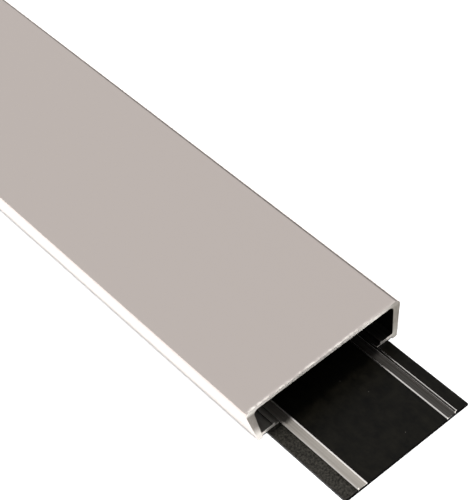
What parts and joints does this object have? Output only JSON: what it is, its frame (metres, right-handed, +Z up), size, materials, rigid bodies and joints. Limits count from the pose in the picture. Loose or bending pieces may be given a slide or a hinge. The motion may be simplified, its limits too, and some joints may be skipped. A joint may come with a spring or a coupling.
{
  "type": "floor cable protector",
  "caption": "Straight length of flat cable trunking: an aluminium cover with inturned lips that slides along a black base strip with low metal clip rails.",
  "frame": {"origin": "on the floor, under the middle of the strip's box as stored, with the cover slid back", "axes": "+Y along the strip, from the end where the base shows towards the cover's far end; +Z up from the floor; +X across the strip"},
  "size_m": [0.08, 1.045, 0.02],
  "materials": {
    "cover_aluminium": "satin anodised, fine extrusion lines along the length",
    "base_plastic": "matt black extruded plastic",
    "rail_aluminium": "bare mill finish"
  },
  "bodies": {
    "base": {"base_strip": "base_plastic", "rail_left": "rail_aluminium", "rail_right": "rail_aluminium"},
    "cover": {"cover": "cover_aluminium"}
  },
  "joints": [
    {"name": "cover_slide", "type": "slide", "parent": "base", "child": "cover", "axis": [0, 1, 0], "range_m": [-0.045, 0.955]}
  ]
}
